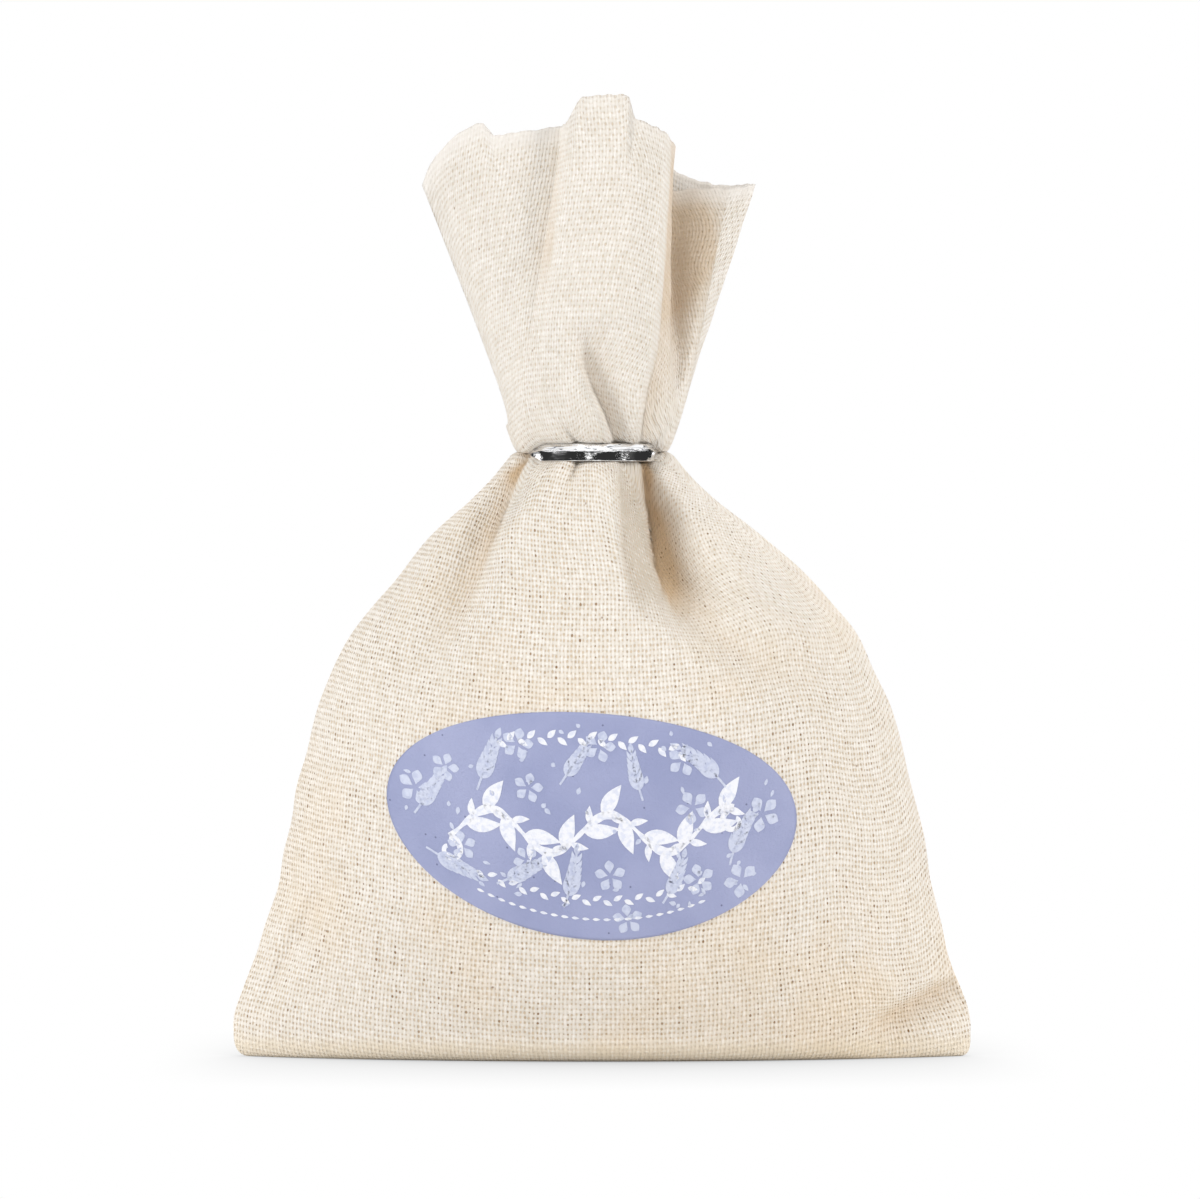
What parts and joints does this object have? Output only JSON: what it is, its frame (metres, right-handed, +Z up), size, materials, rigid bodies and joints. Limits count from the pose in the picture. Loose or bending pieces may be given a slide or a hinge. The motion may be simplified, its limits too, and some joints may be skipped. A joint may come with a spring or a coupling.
{
  "type": "lavender sachet",
  "caption": "Small unbleached cotton bag filled with dried lavender, gathered at the neck by a silver twist tie, with an oval periwinkle label on its front.",
  "frame": {"origin": "on the floor under the middle of the bag", "axes": "+Z up, the label faces -Y, the right side seam is at +X"},
  "size_m": [0.0958, 0.0481, 0.1246],
  "materials": {
    "cotton": "unbleached plain weave cotton, matte",
    "thread": "matte cotton sewing thread",
    "lavender": "dried flower buds, matte",
    "label": "satin printed transfer film with a fine pebble",
    "foil": "metallised film, mirror-like with small creases",
    "wire": "plain annealed wire"
  },
  "bodies": {
    "sachet": {"front_panel": "cotton", "back_panel": "cotton", "left_seam_thread": "thread", "right_seam_thread": "thread", "bottom_seam_thread": "thread", "lavender_fill": "lavender", "label_film": "label", "tie_loop_outer_film": "foil", "tie_loop_inner_film": "foil", "tie_loop_wire": "wire"},
    "tie_tails": {"tie_left_tail_outer_film": "foil", "tie_left_tail_inner_film": "foil", "tie_left_tail_wire": "wire", "tie_right_tail_outer_film": "foil", "tie_right_tail_inner_film": "foil", "tie_right_tail_wire": "wire"}
  },
  "joints": [
    {"name": "tie_untwist", "type": "hinge", "parent": "sachet", "child": "tie_tails", "pos_m": [-0.0013, 0.01073, 0.0784], "axis": [0, 1, 0], "range_deg": [0, 540]}
  ]
}
